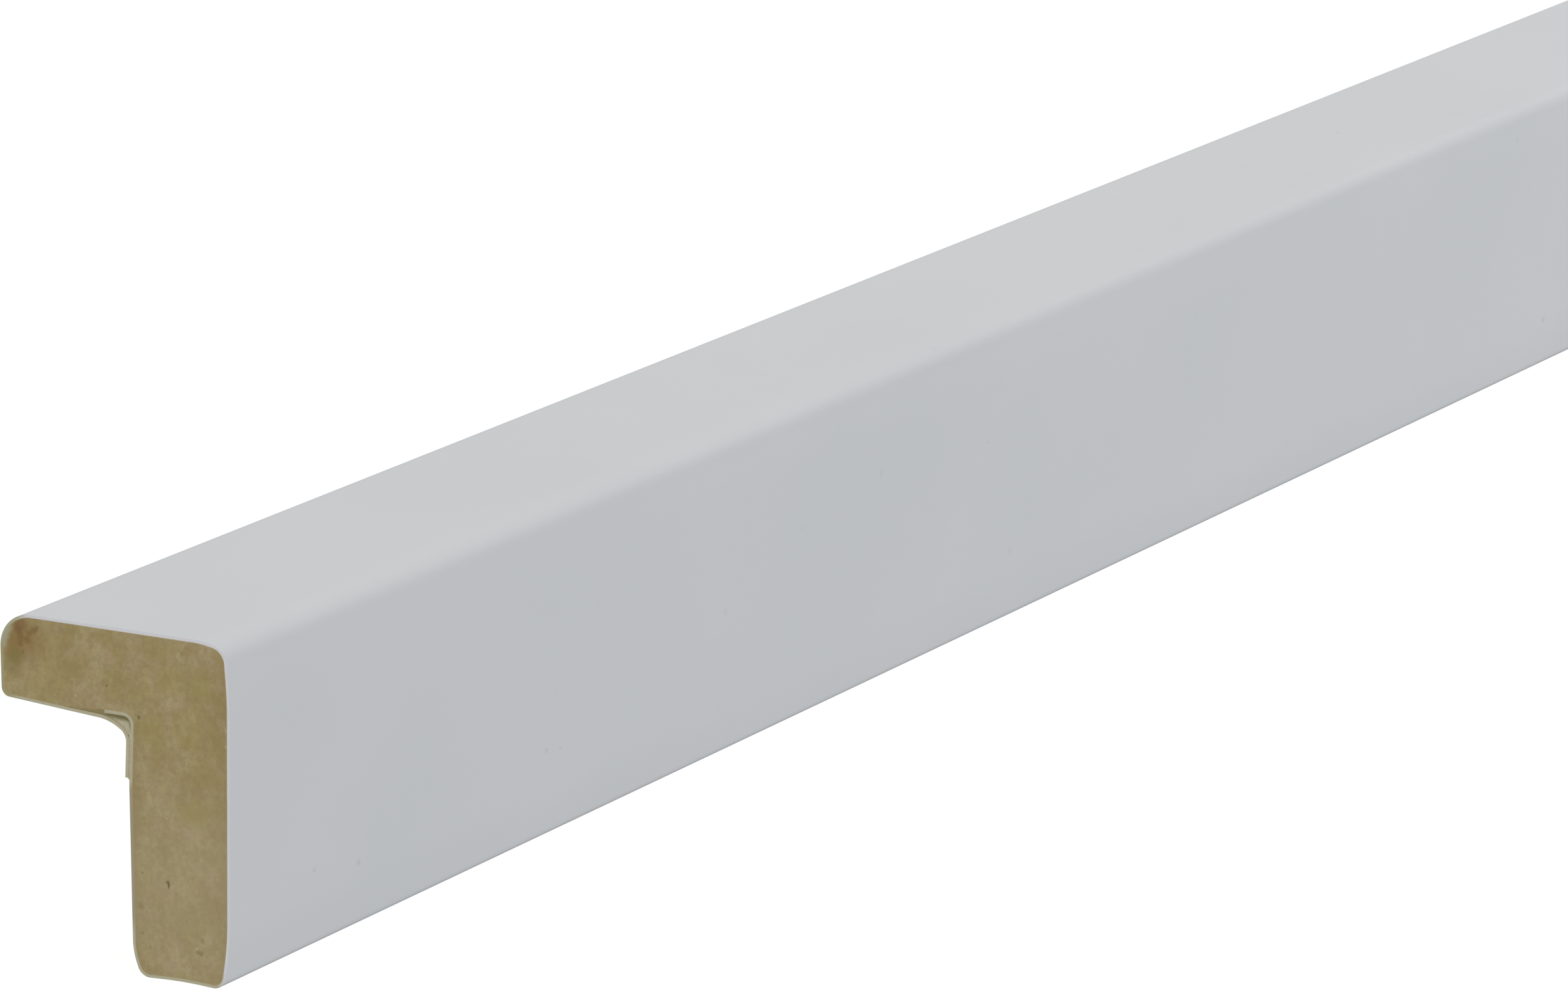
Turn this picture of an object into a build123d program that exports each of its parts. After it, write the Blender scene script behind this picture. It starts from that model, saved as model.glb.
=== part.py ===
from build123d import *
import os
from math import asin, atan2, degrees

# A length of foil-wrapped wall moulding of angle section, sawn square at both ends.
# The section is drawn as the moulding hangs on a wall: u runs from the core's front
# face towards the wall, and v runs up from the core's sole. Millimetres.

# Stock
rail_length = 2400.0
core_depth = 22.0
core_height = 29.4

# Front leg, which hangs down in front: its thickness from the front face
front_leg_root = 9.05
front_leg_swell = 9.23
front_leg_toe = 8.9

# Top leg, which runs back to the wall: its thickness from the top face
top_leg_root = 6.9
top_leg_swell = 7.2
top_leg_end = 6.75
top_leg_end_lean = 0.2

# The inner corner is cut back a little where the foil's two edges lap
inner_corner_radius = 1.05
relief_reach = 6.1
relief_flat = 2.9
relief_blend_radius = 10.0

# Front edge: a small radius eased into the top face and the front face
front_edge_radius = 1.35
top_ease_width = 2.7
top_ease_drop = 0.4
top_ease_radius = 7.0
front_ease_height = 4.5
front_ease_depth = 0.36
front_ease_radius = 27.0

# Back edge and tip of the top leg
back_edge_radius = 2.7
top_leg_tip_radius = 0.5

# Sole of the front leg: slightly hollow, with both of its edges eased
sole_hollow = 0.2
sole_hollow_radius = 30.0
sole_front_depth = 0.55
sole_front_height = 3.7
sole_front_radius = 0.85
sole_front_ease_radius = 20.0
toe_depth = 0.7
toe_height = 1.9
toe_radius = 0.88
toe_ease_radius = 5.0

# Foil: one sheet round the whole core, its two edges lapped in the inner corner
foil_thickness = 0.25
glue_line = 0.05
lap_glue = 0.15
outer_lap_reach = 5.65
outer_lap_first_bend = 2.4
outer_lap_second_bend = 1.7
outer_lap_first_radius = 3.9
outer_lap_second_radius = 1.4


def moved_corner(before, corner, after, distance):
    """A corner of an outline after both of its lines have moved outwards."""
    arriving = (corner - before).normalized()
    leaving = (after - corner).normalized()
    left_of_arriving = Vector(-arriving.Y, arriving.X)
    left_of_leaving = Vector(-leaving.Y, leaving.X)
    mitre = (left_of_arriving + left_of_leaving) / (1 + left_of_arriving.dot(left_of_leaving))
    return corner + mitre * distance


def moved_path(points, distance):
    """An open path after each of its lines has moved outwards by a distance."""
    lead_in = points[0] * 2 - points[1]
    lead_out = points[-1] * 2 - points[-2]
    led = [lead_in, *points, lead_out]
    return [moved_corner(*led[i : i + 3], distance) for i in range(len(points))]


def front_leg_corners():
    """Corners of the front leg with their radii, from the inner corner clockwise.

    A radius is negative where the outline turns inwards.
    """
    root = core_height - top_leg_root
    sole_middle = (front_leg_toe - toe_depth + sole_front_depth) / 2
    return [
        (Vector(front_leg_root, root), -inner_corner_radius),
        (Vector(front_leg_swell, root - relief_reach), relief_blend_radius),
        (Vector(front_leg_toe, toe_height), toe_ease_radius),
        (Vector(front_leg_toe - toe_depth, 0), toe_radius),
        (Vector(sole_middle, sole_hollow), -sole_hollow_radius),
        (Vector(sole_front_depth, 0), sole_front_radius),
        (Vector(0, sole_front_height), sole_front_ease_radius),
        (Vector(0, core_height - front_ease_height), front_ease_radius),
    ]


def top_leg_corners():
    """Corners of the top leg with their radii, from the front edge to the tip."""
    return [
        (Vector(front_ease_depth, core_height - top_ease_drop), front_edge_radius),
        (Vector(top_ease_width, core_height), top_ease_radius),
        (Vector(core_depth, core_height), back_edge_radius),
        (Vector(core_depth - top_leg_end_lean, core_height - top_leg_end), top_leg_tip_radius),
    ]


def relief_start():
    """Where the top leg's underside starts to rise into the relieved inner corner."""
    return Vector(front_leg_root + relief_reach, core_height - top_leg_swell)


def relief_top():
    """Where the relief under the top leg turns level, and the foil's inner edge lies."""
    return Vector(front_leg_root + relief_flat, core_height - top_leg_root)


def core_section():
    """The milled section of the fibreboard core."""
    corners = front_leg_corners() + top_leg_corners()
    corners += [(relief_start(), relief_blend_radius), (relief_top(), relief_blend_radius)]
    outline = FilletPolyline(
        [point for point, radius in corners],
        radius=[abs(radius) for point, radius in corners],
        close=True,
    )
    return make_face(outline.edges())


def foil_section():
    """One band round the core, with its outer edge lapped over its inner edge."""
    corners = front_leg_corners() + top_leg_corners()
    root, relief_end = corners[0][0], corners[1][0]
    tip = corners[-1][0]

    # The outer lap runs straight on where the underside rises into the relief, and
    # turns down in two soft bends on to the inner lap
    underside = (relief_start() - tip) / (tip.X - relief_start().X)
    first_bend = tip + underside * (tip.X - root.X - outer_lap_first_bend)
    leg_back = (relief_end - root).normalized()
    lap_lift = foil_thickness + lap_glue
    lap_top = root + Vector(-leg_back.Y, leg_back.X) * lap_lift
    second_bend = lap_top + leg_back * outer_lap_second_bend
    outer_edge = lap_top + leg_back * outer_lap_reach

    points = [relief_top(), *[point for point, radius in corners]]
    points += [first_bend, second_bend, outer_edge]
    radii = [radius for point, radius in corners]
    radii += [-outer_lap_first_radius, -outer_lap_second_radius]

    middle = glue_line + foil_thickness / 2
    path = FilletPolyline(
        moved_path(points, middle), radius=[abs(radius + middle) for radius in radii]
    )
    return trace(path.edges(), line_width=foil_thickness)


def resting_turn():
    """The turn about the length that sets both leg tips on the floor, corner up."""
    leg = [point for point, radius in front_leg_corners()]
    toe_centre = moved_corner(leg[2], leg[3], leg[4], -toe_radius)
    back_edge, tip = [point for point, radius in top_leg_corners()][-2:]
    tip_centre = moved_corner(back_edge, tip, relief_start(), -top_leg_tip_radius)
    span = tip_centre - toe_centre
    level_centres = degrees(atan2(span.Y, span.X))
    unequal_radii = degrees(asin((top_leg_tip_radius - toe_radius) / span.length))
    return level_centres - unequal_radii


def at_rest(section):
    """A section as a full length, turned corner up along X."""
    stock = extrude(Plane.YZ * section, amount=rail_length)
    return Rot(-resting_turn(), 0, 0) * stock


foil_wrap = at_rest(foil_section())
mdf_core = at_rest(core_section())

box = foil_wrap.bounding_box()
to_floor = Pos(-box.center().X, -box.center().Y, -box.min.Z)

os.makedirs("parts", exist_ok=True)
export_step(to_floor * mdf_core, "parts/mdf_core.step")
export_step(to_floor * foil_wrap, "parts/foil_wrap.step")
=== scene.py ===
from math import ceil, degrees, radians, tan

import bmesh
import bpy
from mathutils import Matrix, Vector


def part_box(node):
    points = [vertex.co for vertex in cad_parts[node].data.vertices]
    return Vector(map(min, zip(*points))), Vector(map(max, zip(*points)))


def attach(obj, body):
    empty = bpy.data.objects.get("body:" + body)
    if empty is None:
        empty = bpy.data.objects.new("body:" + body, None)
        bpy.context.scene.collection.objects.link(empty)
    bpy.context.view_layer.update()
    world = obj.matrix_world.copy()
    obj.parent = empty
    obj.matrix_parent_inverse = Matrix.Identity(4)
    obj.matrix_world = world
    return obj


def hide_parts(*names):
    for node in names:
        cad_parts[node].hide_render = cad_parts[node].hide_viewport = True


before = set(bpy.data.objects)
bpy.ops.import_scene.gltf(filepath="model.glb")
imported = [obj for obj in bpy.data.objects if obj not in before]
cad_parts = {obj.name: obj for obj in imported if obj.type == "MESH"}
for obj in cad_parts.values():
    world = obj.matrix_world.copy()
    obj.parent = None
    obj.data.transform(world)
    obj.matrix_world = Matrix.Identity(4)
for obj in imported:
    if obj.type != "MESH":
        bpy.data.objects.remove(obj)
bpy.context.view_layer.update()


# The core: one length of medium-density fibreboard, milled to an angle section and sawn
# square at both ends. Only its two sawn ends show, because the foil covers all the rest.
half_length = 1000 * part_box("mdf_core")[1].x

# Sections are drawn in millimetres, as the moulding hangs: u from its front face towards
# the wall, v up from its sole. At rest they are turned corner up, with both leg tips on
# the floor.
resting_turn = 59.1328
section_shift = (0, -0.0180234, 0.0072339)
section_to_floor = (
    Matrix.Translation(section_shift)
    @ Matrix.Rotation(radians(-resting_turn), 4, "X")
    @ Matrix.Scale(0.001, 4)
)

# Corners of the two legs from the inner corner clockwise: u, v and radius
leg_corners = [
    (9.05, 22.5, 1.05),
    (9.23, 16.4, 10),
    (8.9, 1.9, 5),
    (8.2, 0, 0.88),
    (4.375, 0.2, 30),
    (0.55, 0, 0.85),
    (0, 3.7, 20),
    (0, 24.9, 27),
    (0.36, 29, 1.35),
    (2.7, 29.4, 7),
    (22, 29.4, 2.7),
    (21.8, 22.65, 0.5),
]
relief_corners = [(15.15, 22.2, 10), (11.95, 22.5, 10)]


def set_corners(mesh, corners, recess=0):
    """The section's corners near the left end, as vertices joined in order."""
    verts = [mesh.verts.new((recess - half_length, u, v)) for u, v, _ in corners]
    edges = [mesh.edges.new(pair) for pair in zip(verts, verts[1:])]
    return verts, edges


def run_lengthways(mesh, made, recess=0):
    """Carries what an extrusion made to the right end."""
    moved = [part for part in made["geom"] if isinstance(part, bmesh.types.BMVert)]
    bmesh.ops.translate(mesh, verts=moved, vec=(2 * (half_length - recess), 0, 0))


def round_corners(mesh, corners):
    """Rounds each lengthways edge to its own radius, in steps of about four degrees."""
    same_place = 1e-4
    degrees_per_step = 4
    for u, v, radius in corners:
        if not radius:
            continue
        corner = Vector((u, v))
        edge = next(
            edge
            for edge in mesh.edges
            if all((end.co.yz - corner).length < same_place for end in edge.verts)
        )
        turn = edge.calc_face_angle()
        bmesh.ops.bevel(
            mesh,
            geom=[edge],
            offset=radius * tan(turn / 2),
            offset_type="OFFSET",
            segments=max(2, ceil(degrees(turn) / degrees_per_step)),
            profile=0.5,
            affect="EDGES",
            material=-1,
        )


def solid_bar(corners, recess=0):
    """A closed section run from end to end, stopping short of both ends by the recess."""
    mesh = bmesh.new()
    verts, _ = set_corners(mesh, corners, recess)
    left_end = mesh.faces.new(verts)
    made = bmesh.ops.extrude_face_region(mesh, geom=[left_end], use_keep_orig=True)
    run_lengthways(mesh, made, recess)
    bmesh.ops.recalc_face_normals(mesh, faces=mesh.faces)
    round_corners(mesh, corners)
    return mesh


def finish_piece(mesh, name, materials):
    """Sets a drawn piece on the floor and smooths its rounded faces."""
    mesh.transform(section_to_floor)
    data = bpy.data.meshes.new(name)
    mesh.to_mesh(data)
    mesh.free()
    data.shade_smooth()
    data.set_sharp_from_angle(angle=radians(30))
    for material in materials:
        data.materials.append(material)
    piece = bpy.data.objects.new(name, data)
    bpy.context.scene.collection.objects.link(piece)
    even = piece.modifiers.new("flats stay flat", "WEIGHTED_NORMAL")
    even.keep_sharp = True
    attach(piece, "root")
    return piece


def linear(hex_colour):
    """A colour given as the eye sees it, in the linear light that shaders work in."""
    channels = [int(hex_colour[i : i + 2], 16) / 255 for i in (1, 3, 5)]
    return (*[c / 12.92 if c < 0.04045 else ((c + 0.055) / 1.055) ** 2.4 for c in channels], 1)


def add_node(material, kind, settings=None, **sockets):
    """One shader node: its settings, then its sockets, each set or joined to a node.

    A socket goes by its name, with _ for a space, or by _ and its number.
    """
    node = material.node_tree.nodes.new("ShaderNode" + kind)
    for setting, value in (settings or {}).items():
        setattr(node, setting, value)
    for socket, value in sockets.items():
        number = socket[1:]
        into = node.inputs[int(number) if number.isdigit() else socket.replace("_", " ")]
        if isinstance(value, bpy.types.NodeSocket):
            material.node_tree.links.new(value, into)
        else:
            into.default_value = value
    return node.outputs


def new_material(name):
    """An empty material, and the piece's own millimetres as drawn."""
    material = bpy.data.materials.new(name)
    material.use_nodes = True
    material.node_tree.nodes.clear()
    drawn = add_node(
        material,
        "Mapping",
        {"vector_type": "TEXTURE"},
        Vector=add_node(material, "TexCoord")["Object"],
        Location=section_shift,
        Rotation=(radians(-resting_turn), 0, 0),
        Scale=(0.001, 0.001, 0.001),
    )
    return material, drawn["Vector"]


def paint_mark(material, colour, place, centre, solid, gone, shade, strength):
    """Paints a round mark over a colour: solid out to one radius and gone at another."""
    distance = add_node(
        material, "VectorMath", {"operation": "DISTANCE"}, _0=place, _1=centre
    )["Value"]
    cover = add_node(
        material,
        "MapRange",
        {"interpolation_type": "SMOOTHSTEP"},
        Value=distance,
        From_Min=solid,
        From_Max=gone,
        To_Min=strength,
        To_Max=0.0,
    )["Result"]
    return add_node(
        material, "MixRGB", Fac=cover, Color1=colour, Color2=linear(shade)
    )["Color"]


# Medium-density fibreboard, sawn across: fine pale fibres felted with resin, so the cut
# is matt and evenly brown, cloudy over a few millimetres, with a few dark bark flecks.
fibreboard, drawn = new_material("sawn medium-density fibreboard")

# The fibres lie in swirls under half a millimetre wide, so every mark has a ragged rim
fibre_swirl = 0.45
swirl_reach = 0.4
stir = add_node(fibreboard, "TexNoise", Vector=drawn, Scale=1 / fibre_swirl, Detail=3.0)
stirred = add_node(
    fibreboard,
    "VectorMath",
    {"operation": "MULTIPLY_ADD"},
    _0=stir["Color"],
    _1=(swirl_reach, swirl_reach, swirl_reach),
    _2=drawn,
)["Vector"]

# Cloudy patches over the board's own colour: how wide they are, their detail, the noise
# at which one starts and is full, its shade and its share
board_patches = [
    (3.8, 5.0, 0.36, 0.64, "#cfbd90", 1.0),
    (1.7, 4.0, 0.42, 0.62, "#b9a26d", 0.65),
    (2.5, 3.0, 0.5, 0.66, "#cdb496", 0.5),
    (2.8, 2.0, 0.5, 0.66, "#c6b67b", 0.45),
    (0.5, 5.0, 0.4, 0.62, "#ab9667", 0.5),
]
colour = linear("#bba976")
for width, detail, starts, full, shade, share in board_patches:
    patches = add_node(
        fibreboard, "TexNoise", Vector=stirred, Scale=1 / width, Detail=detail, Roughness=0.62
    )
    patch_share = add_node(
        fibreboard,
        "MapRange",
        Value=patches["Fac"],
        From_Min=starts,
        From_Max=full,
        To_Max=share,
    )
    colour = add_node(
        fibreboard, "MixRGB", Fac=patch_share["Result"], Color1=colour, Color2=linear(shade)
    )["Color"]

# Along the front and the back of the front leg the board is a little darker, where its
# milled faces drew in glue
axes = add_node(fibreboard, "SeparateXYZ", Vector=stirred)
front = add_node(
    fibreboard, "MapRange", Value=axes["Y"], From_Min=0.3, From_Max=1.9, To_Min=0.4, To_Max=0.0
)
back = add_node(fibreboard, "MapRange", Value=axes["Y"], From_Min=8.2, From_Max=9.2, To_Max=0.4)
below_corner = add_node(
    fibreboard, "MapRange", Value=axes["Z"], From_Min=19.5, From_Max=21.5, To_Min=1.0, To_Max=0.0
)
back = add_node(
    fibreboard, "Math", {"operation": "MULTIPLY"}, _0=back["Result"], _1=below_corner["Result"]
)
soaked = add_node(
    fibreboard, "Math", {"operation": "MAXIMUM"}, _0=front["Result"], _1=back["Value"]
)
colour = add_node(
    fibreboard, "MixRGB", Fac=soaked["Value"], Color1=colour, Color2=linear("#ab9764")
)["Color"]

# Marks on the left end, by kind: a colour, a strength, and the u, v and radius of each
pale_foot = ("#d0c2a2", 0.25, [(4.5, 8, 9.5)])
resin_patches = (
    "#b8a75f",
    0.37,
    [(5.6, 25.8, 1.4), (2.6, 25.6, 1.2), (3.6, 21.6, 1.5), (7.2, 20.9, 1.3), (3.2, 14.6, 1.5)],
)
damp_stain = ("#a58852", 0.66, [(19.9, 27.3, 2.3), (20.9, 26.4, 1), (21.1, 27.5, 0.7)])
stain_fringe = ("#9c8f56", 0.5, [(21.1, 25.1, 1.2), (20.7, 26.1, 0.7)])
stain_specks = (
    "#8d673f",
    0.47,
    [
        (20.3, 28.8, 0.8),
        (20.45, 28.3, 0.48),
        (20.2, 27.7, 0.46),
        (20.2, 27.1, 0.36),
        (19.5, 27.5, 0.38),
        (18.95, 28.4, 0.36),
        (19.35, 28.1, 0.3),
        (18.6, 28.6, 0.24),
        (20, 26.4, 0.18),
    ],
)
soaked_in_glue = (
    "#cfd1b4",
    0.55,
    [(21.75, 28.25, 0.72), (21.95, 27.5, 0.6), (22.05, 26.9, 0.5)],
)
bark_flecks = (
    "#73603a",
    0.68,
    [
        (8.55, 22.3, 0.2),
        (11.7, 24.6, 0.14),
        (5.76, 8.32, 0.2),
        (5.73, 8.12, 0.17),
        (5.7, 7.96, 0.13),
    ],
)
fibre_bundles = (
    "#a3916a",
    0.55,
    [
        (8.85, 22.42, 0.18),
        (2.8, 2.62, 0.22),
        (2.6, 2.6, 0.25),
        (2.42, 2.58, 0.2),
        (2.4, 3.7, 0.24),
        (4.3, 28.3, 0.2),
        (8.25, 8.8, 0.17),
        (8.4, 5.9, 0.34),
        (8.25, 3.5, 0.2),
        (7.5, 2.4, 0.2),
        (3.9, 5.1, 0.15),
        (8.1, 13.6, 0.18),
    ],
)
torn_fibres = (
    "#e6d3aa",
    0.5,
    [
        (0.16, 22.5, 0.1),
        (0.1, 22.3, 0.14),
        (0.14, 22.05, 0.09),
        (0.08, 20.95, 0.1),
        (0.1, 20.8, 0.08),
        (14.8, 23.3, 0.15),
        (2.9, 2.95, 0.13),
    ],
)
end_marks = [
    pale_foot,
    resin_patches,
    damp_stain,
    stain_fringe,
    stain_specks,
    soaked_in_glue,
    bark_flecks,
    fibre_bundles,
    torn_fibres,
]
mark_solid = 0.3
mark_gone = 1.35
mean_swirl = swirl_reach / 2
for shade, strength, places in end_marks:
    for u, v, radius in places:
        centre = (mean_swirl - half_length, u + mean_swirl, v + mean_swirl)
        solid = mark_solid * radius
        gone = mark_gone * radius
        colour = paint_mark(fibreboard, colour, stirred, centre, solid, gone, shade, strength)

# A fibre is a few hundredths of a millimetre thick, too fine to show, so the felt is drawn
# as coarse as a small bundle of fibres
felt_grain = 0.14
felt = add_node(fibreboard, "TexNoise", Vector=drawn, Scale=1 / felt_grain, Detail=3.0)
felt_bump = add_node(fibreboard, "Bump", Height=felt["Fac"], Strength=0.35, Distance=0.00004)
board_shader = add_node(
    fibreboard,
    "BsdfPrincipled",
    Base_Color=colour,
    Roughness=0.9,
    Specular_IOR_Level=0.2,
    Normal=felt_bump["Normal"],
)
add_node(fibreboard, "OutputMaterial", Surface=board_shader["BSDF"])

mesh = solid_bar(leg_corners + relief_corners)
core = finish_piece(mesh, "fibreboard_core", [fibreboard])
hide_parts("mdf_core")


# The wrap: one sheet of smooth white finish foil with hot-melt glue on its back, pressed
# round the core by rollers. Its outer edge laps over its inner edge in the inner corner.
foil_thickness = 0.25
glue_thickness = 0.05
outer_lap = [(11.45, 21.95, 3.9), (9.5, 20.812, 1.4), (9.616, 16.864, 0)]
wrap_corners = [(*relief_corners[-1][:2], 0), *leg_corners, *outer_lap]


def paint_zones(material, colour, place, zones):
    """Paints shades over a colour, each by how far a place lies across one direction."""
    for across, starts, full, shade, share in zones:
        reach = add_node(
            material, "VectorMath", {"operation": "DOT_PRODUCT"}, _0=place, _1=across
        )["Value"]
        cover = add_node(
            material, "MapRange", Value=reach, From_Min=starts, From_Max=full, To_Max=share
        )["Result"]
        colour = add_node(
            material, "MixRGB", Fac=cover, Color1=colour, Color2=linear(shade)
        )["Color"]
    return colour


# White finish foil: printed paper or plastic under a smooth satin lacquer. It is even
# and slightly cool, with the board's faint unevenness and now and then a speck of dust.
white_foil, drawn = new_material("white finish foil")
drift_width = 33
drift = add_node(white_foil, "TexNoise", Vector=drawn, Scale=1 / drift_width, Detail=3.0)
foil_tint = add_node(white_foil, "MapRange", Value=drift["Fac"], From_Min=0.3, From_Max=0.7)
colour = add_node(
    white_foil,
    "MixRGB",
    Fac=foil_tint["Result"],
    Color1=linear("#eceeef"),
    Color2=linear("#eff0f1"),
)["Color"]

# Dust under the lacquer: a faint grey speck up to a millimetre wide here and there
dust_spacing = 12
dust = add_node(white_foil, "TexVoronoi", Vector=drawn, Scale=1 / dust_spacing)
speck = add_node(
    white_foil,
    "MapRange",
    {"interpolation_type": "SMOOTHSTEP"},
    Value=dust["Distance"],
    From_Min=0.015,
    From_Max=0.045,
    To_Min=0.12,
    To_Max=0.0,
)
colour = add_node(
    white_foil, "MixRGB", Fac=speck["Result"], Color1=colour, Color2=linear("#b9bec2")
)["Color"]

# Dust nibs pressed in on the front face: millimetres from the left end, v and radius
foil_nibs = [
    (3.5, 27.6, 0.25),
    (13.8, 6.9, 0.35),
    (21.2, 5.75, 0.5),
    (53.9, 8.05, 0.4),
    (56.4, 7.75, 0.28),
    (139.7, 18.5, 0.28),
    (272, 5.1, 0.55),
]
nib_solid = 0.2
for along, v, radius in foil_nibs:
    centre = (along - half_length, -glue_thickness - foil_thickness, v)
    solid = nib_solid * radius
    colour = paint_mark(white_foil, colour, drawn, centre, solid, radius, "#aeb3b4", 0.18)

# Painted shade: the sole's rounded front edge is a little grey, as shade where it turns down
# away from the light
painted_sole_shade = ((0, 0, -1), -0.4, -0.1, "#b4b8ba", 0.55)
colour = paint_zones(white_foil, colour, drawn, [painted_sole_shade])

# The lacquer's matting grain is a few hundredths of a millimetre wide, too fine to show, so
# it is drawn coarser. The board's unevenness shows through it as a long low wave.
lacquer_grain = 0.4
texture = add_node(white_foil, "TexNoise", Vector=drawn, Scale=1 / lacquer_grain, Detail=2.0)
sheen = add_node(white_foil, "MapRange", Value=texture["Fac"], To_Min=0.42, To_Max=0.5)
board_wave = 8.5
lie = add_node(white_foil, "TexNoise", Vector=drawn, Scale=1 / board_wave, Detail=2.0)
lie_bump = add_node(white_foil, "Bump", Height=lie["Fac"], Strength=0.5, Distance=0.00005)
foil_bump = add_node(
    white_foil,
    "Bump",
    Height=texture["Fac"],
    Strength=0.4,
    Distance=0.000004,
    Normal=lie_bump["Normal"],
)
foil_shader = add_node(
    white_foil,
    "BsdfPrincipled",
    Base_Color=colour,
    Roughness=sheen["Result"],
    Specular_IOR_Level=0.35,
    Normal=foil_bump["Normal"],
)
add_node(white_foil, "OutputMaterial", Surface=foil_shader["BSDF"])

# The foil's cut edge: white where the saw left it clean along the front and the top, and
# cream with glue and board dust at the laps and round the sole. Along the back of the leg
# and round the back edge it is nearly as brown as the board, and a little green from glue.
cut_foil, drawn = new_material("cut edge of the foil")

# The saw left glue and dust on it in smears under a millimetre wide
smear_width = 0.8
smear = add_node(cut_foil, "TexNoise", Vector=drawn, Scale=1 / smear_width, Detail=3.0)
colour = add_node(
    cut_foil,
    "MixRGB",
    Fac=smear["Fac"],
    Color1=linear("#c9bd9c"),
    Color2=linear("#e0dcbc"),
)["Color"]
edge_zones = [
    ((0, 0, -1), -16.6, -15.8, "#bfb298", 1.0),
    ((0, 0, -1), -4.8, -3.4, "#d4cdac", 1.0),
    ((0, -1, 0), -0.9, -0.1, "#fbf8fb", 1.0),
    ((0, 0, 1), 25.5, 29.3, "#fbf8fb", 1.0),
    ((0, 1, 0), 20.2, 21.4, "#beb68a", 1.0),
    ((0, 1, 0.8), 43.2, 44.0, "#c9c8a6", 1.0),
]
colour = paint_zones(cut_foil, colour, drawn, edge_zones)
cut_shader = add_node(
    cut_foil, "BsdfPrincipled", Base_Color=colour, Roughness=0.75, Specular_IOR_Level=0.2
)
add_node(cut_foil, "OutputMaterial", Surface=cut_shader["BSDF"])


def wrapped_sheet(lift, thickness):
    """A sheet along the wrap's corners, lifted off the core's line and then thickened."""
    mesh = bmesh.new()
    _, edges = set_corners(mesh, wrap_corners)
    run_lengthways(mesh, bmesh.ops.extrude_edge_only(mesh, edges=edges))

    # Faces point out of the moulding before they are lifted
    front_face = min(mesh.faces, key=lambda face: face.calc_center_median().y)
    if front_face.normal.y > 0:
        bmesh.ops.reverse_faces(mesh, faces=mesh.faces)
    round_corners(mesh, wrap_corners)
    mesh.normal_update()
    lifts = [(vert, vert.normal * vert.calc_shell_factor() * lift) for vert in mesh.verts]
    for vert, move in lifts:
        vert.co += move
    inner_side = set(mesh.verts)
    bmesh.ops.solidify(mesh, geom=mesh.faces, thickness=-thickness)
    bmesh.ops.reverse_faces(mesh, faces=mesh.faces)

    # A face that joins the two sides is on the cut edge, which has the second material
    for face in mesh.faces:
        sides = {vert in inner_side for vert in face.verts}
        face.material_index = len(sides) - 1
    return mesh


foil = finish_piece(
    wrapped_sheet(glue_thickness, foil_thickness), "foil_sheet", [white_foil, cut_foil]
)
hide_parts("foil_wrap")


# The glue: a hot-melt film between core and foil, a thicker line of it between the two
# laps, and what was pressed out into the wedge behind the outer lap, where dust settled.
# Hot-melt glue sets waxy and cream, so on the sawn ends it hardly shows from the foil.
glue, drawn = new_material("hot-melt glue")

# Sawdust lies in it in crumbs up to 0.4 mm wide
glue_crumb = 0.4
crumbs = add_node(glue, "TexNoise", Vector=drawn, Scale=1 / glue_crumb, Detail=4.0)
colour = add_node(
    glue,
    "MixRGB",
    Fac=crumbs["Fac"],
    Color1=linear("#cbbf98"),
    Color2=linear("#ddd4b3"),
)["Color"]
glue_zones = [
    ((0, 0, -1), -16.6, -15.8, "#c0b28c", 1.0),
    ((0, 1, 0), 13.0, 15.0, "#beb489", 1.0),
]
colour = paint_zones(glue, colour, drawn, glue_zones)
glue_shader = add_node(
    glue, "BsdfPrincipled", Base_Color=colour, Roughness=0.5, Specular_IOR_Level=0.3
)
add_node(glue, "OutputMaterial", Surface=glue_shader["BSDF"])

finish_piece(wrapped_sheet(0, glue_thickness), "glue_film", [glue, glue])

# Between the laps, with a slanting lip under the outer lap's edge
lap_glue_corners = [
    (9.33, 20.9, 0),
    (9.46, 16.64, 0),
    (9.5, 16.64, 0),
    (9.69, 16.84, 0),
    (9.56, 20.9, 0),
]
finish_piece(solid_bar(lap_glue_corners, recess=0.03), "lap_glue", [glue])

# Pressed-out glue: matt and crumbly with sawdust. It is cream where it lies on the outer
# lap, painted darkest right behind the inner lap as shade under that lap, and brown as the
# board beyond that lap's edge.
dusty_glue, drawn = new_material("pressed-out glue with sawdust")
crumb_reach = 0.2
crumbs = add_node(dusty_glue, "TexNoise", Vector=drawn, Scale=1 / glue_crumb, Detail=4.0)
stirred = add_node(
    dusty_glue,
    "VectorMath",
    {"operation": "MULTIPLY_ADD"},
    _0=crumbs["Color"],
    _1=(crumb_reach, crumb_reach, crumb_reach),
    _2=drawn,
)["Vector"]
colour = add_node(
    dusty_glue,
    "MixRGB",
    Fac=crumbs["Fac"],
    Color1=linear("#cdc39c"),
    Color2=linear("#e0d9bd"),
)["Color"]
# The first two banks are painted shade behind the inner lap; the other two are the glue's
# board-brown beyond that lap's edge
painted_shade_and_dust_banks = [
    ((0, -0.1, 1), 20.66, 20.96, "#8d8257", 0.95),
    ((0, -1, 0.25), -4.375, -4.195, "#8d8257", 0.9),
    ((0, 0.33, 1), 26.02, 26.18, "#af9e70", 1.0),
    ((0, 0.1, 1), 23.64, 23.74, "#bdac7e", 1.0),
]
colour = paint_zones(dusty_glue, colour, stirred, painted_shade_and_dust_banks)
crumb_bump = add_node(dusty_glue, "Bump", Height=crumbs["Fac"], Strength=0.6, Distance=0.0001)
dusty_shader = add_node(
    dusty_glue,
    "BsdfPrincipled",
    Base_Color=colour,
    Roughness=0.85,
    Specular_IOR_Level=0.2,
    Normal=crumb_bump["Normal"],
)
add_node(dusty_glue, "OutputMaterial", Surface=dusty_shader["BSDF"])

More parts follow.
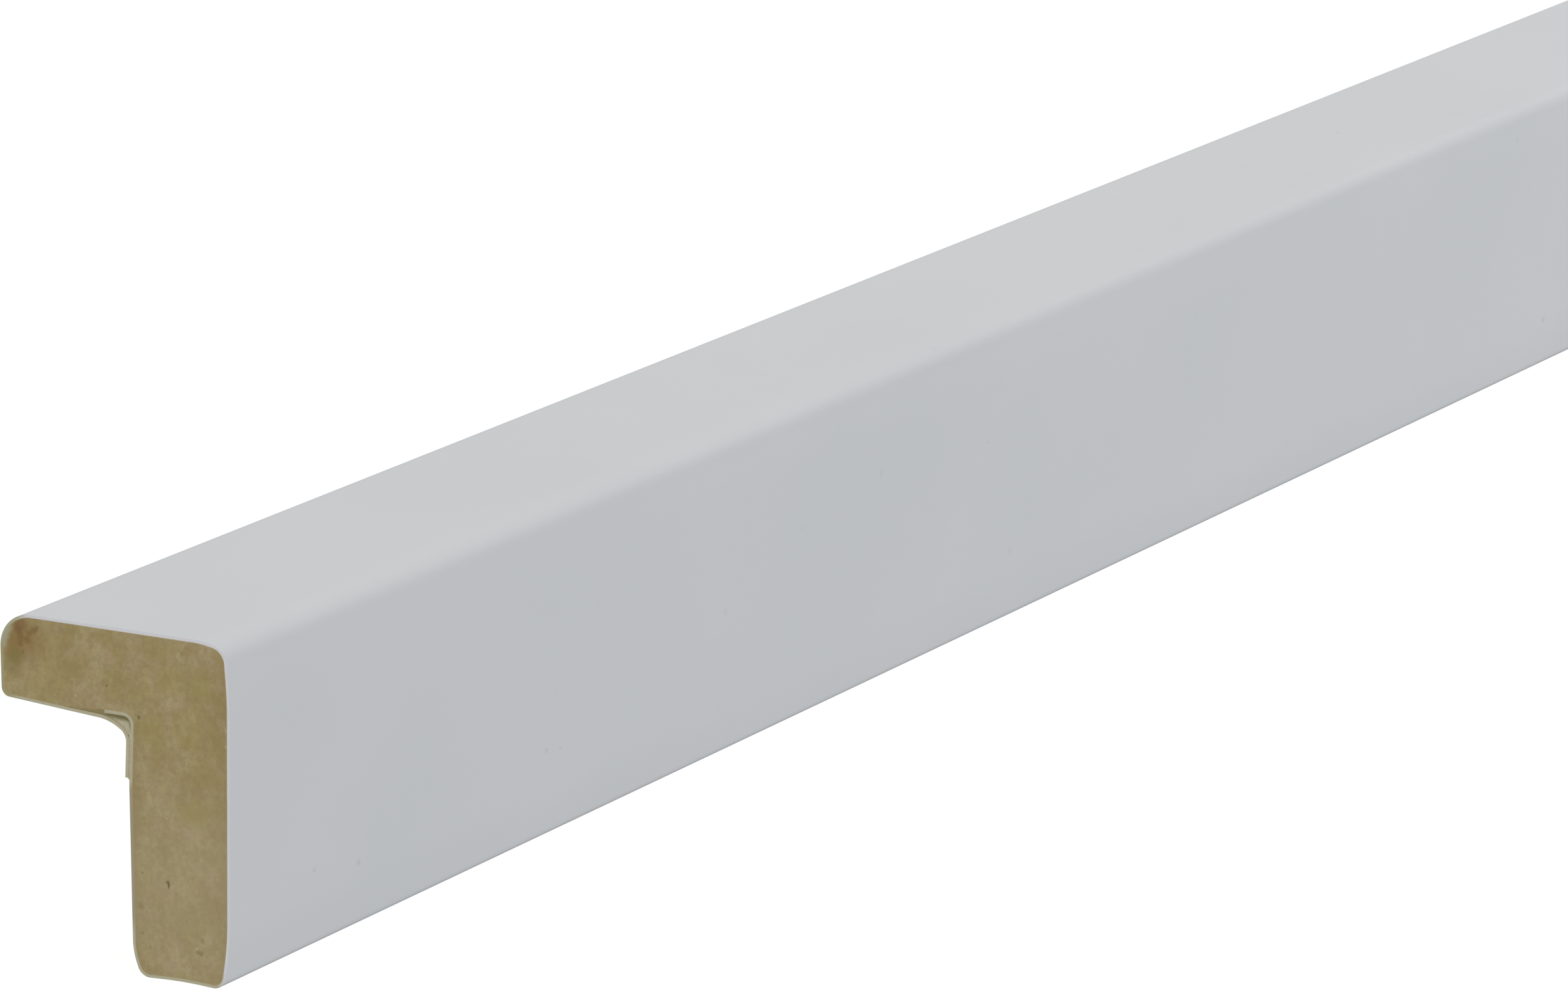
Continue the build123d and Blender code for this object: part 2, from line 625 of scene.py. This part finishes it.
wedge_corners = [
    (15.3, 22.05, 0),
    (15.3, 22.4, 0),
    (13.6, 22.7, 0),
    (9, 22.7, 0),
    (9, 20.9, 0),
    (9.6, 20.6, 0),
    (11.45, 21.75, 0),
    (13.6, 21.88, 0),
]

# At both ends the saw left the soft glue a little short, and leaning back at the top
end_recess = 0.05
end_lean = 0.1
end_skew = -0.03
wedge_tip = (9.75, 20.65)
mesh = solid_bar(wedge_corners)
for end in (-1, 1):
    cut = bmesh.ops.bisect_plane(
        mesh,
        geom=[*mesh.verts, *mesh.edges, *mesh.faces],
        plane_co=(end * (half_length - end_recess), *wedge_tip),
        plane_no=(end, end_skew, end_lean),
        clear_outer=True,
    )
    rim = [part for part in cut["geom_cut"] if isinstance(part, bmesh.types.BMEdge)]
    bmesh.ops.contextual_create(mesh, geom=rim)
bmesh.ops.recalc_face_normals(mesh, faces=mesh.faces)
finish_piece(mesh, "wedge_glue", [dusty_glue])


# The studio: a white light table in an even white surround. A large softbox stands at the
# back, a smaller one in front, wide soft lights face both ends, and the lens is long.
def studio_piece(name, mesh, material):
    """A plain piece of the studio, which the camera sees but which lights nothing."""
    data = bpy.data.meshes.new(name)
    mesh.to_mesh(data)
    mesh.free()
    data.materials.append(material)
    piece = bpy.data.objects.new(name, data)
    bpy.context.scene.collection.objects.link(piece)
    piece.visible_diffuse = False
    piece.visible_glossy = False
    return piece


white_floor, _ = new_material("white light table")
floor_shader = add_node(
    white_floor,
    "BsdfPrincipled",
    Base_Color=linear("#e6e6e6"),
    Roughness=0.9,
    Specular_IOR_Level=0.0,
    Emission_Color=(1, 1, 1, 1),
    Emission_Strength=0.7,
)
add_node(white_floor, "OutputMaterial", Surface=floor_shader["BSDF"])
table_reach = 60
mesh = bmesh.new()
bmesh.ops.create_grid(mesh, x_segments=1, y_segments=1, size=table_reach)
studio_piece("floor", mesh, white_floor)

white_backdrop, _ = new_material("white backdrop")
backdrop_shader = add_node(white_backdrop, "Emission", Color=(1, 1, 1, 1), Strength=1.0)
add_node(white_backdrop, "OutputMaterial", Surface=backdrop_shader["Emission"])
backdrop_radius = 58
mesh = bmesh.new()
bmesh.ops.create_uvsphere(mesh, u_segments=48, v_segments=24, radius=backdrop_radius)
backdrop = studio_piece("backdrop", mesh, white_backdrop)
backdrop.visible_shadow = False

world = bpy.data.worlds.new("soft surround")
world.use_nodes = True
world.node_tree.nodes["Background"].inputs["Color"].default_value = (0.97, 0.985, 1, 1)
world.node_tree.nodes["Background"].inputs["Strength"].default_value = 0.447
bpy.context.scene.world = world


def studio_light(name, kind, towards, strength, colour=(1, 1, 1)):
    """A light that shines on the middle of the piece from a place towards it."""
    data = bpy.data.lights.new(name, kind)
    data.energy = strength
    data.color = colour
    light = bpy.data.objects.new(name, data)
    light.location = towards
    light.rotation_mode = "QUATERNION"
    light.rotation_quaternion = Vector(towards).to_track_quat("Z", "Y")
    light.visible_camera = False
    bpy.context.scene.collection.objects.link(light)
    return data


for end in (-1, 1):
    end_light = studio_light(f"end light {end}", "SUN", (end, 0, 0.21), 0.5)
    end_light.angle = radians(50)
back_light = studio_light("back softbox", "AREA", (0, 2.2, 0.59), 19)
back_light.size = 1.3
front_light = studio_light("front softbox", "AREA", (0, -1.17, 1.09), 4.4, (0.9, 0.945, 1))
front_light.size = 0.9

# The camera looks at the resting part as if it hung on a wall, so its right and its up
# are both turned from the floor's
camera_place = (-1.87681, -0.02653, 0.47987)
right = Vector((0.47006, -0.44219, 0.76388))
up = Vector((0.20292, 0.89642, 0.39404))
camera_data = bpy.data.cameras.new("long lens")
camera_data.sensor_width = 36
camera_data.lens = 225.67
camera_data.clip_end = 200
camera = bpy.data.objects.new("camera", camera_data)
bpy.context.scene.collection.objects.link(camera)
turned = Matrix((right, up, right.cross(up))).transposed().to_4x4()
camera.matrix_world = Matrix.Translation(camera_place) @ turned
bpy.context.scene.camera = camera
bpy.context.scene.view_settings.view_transform = "Standard"
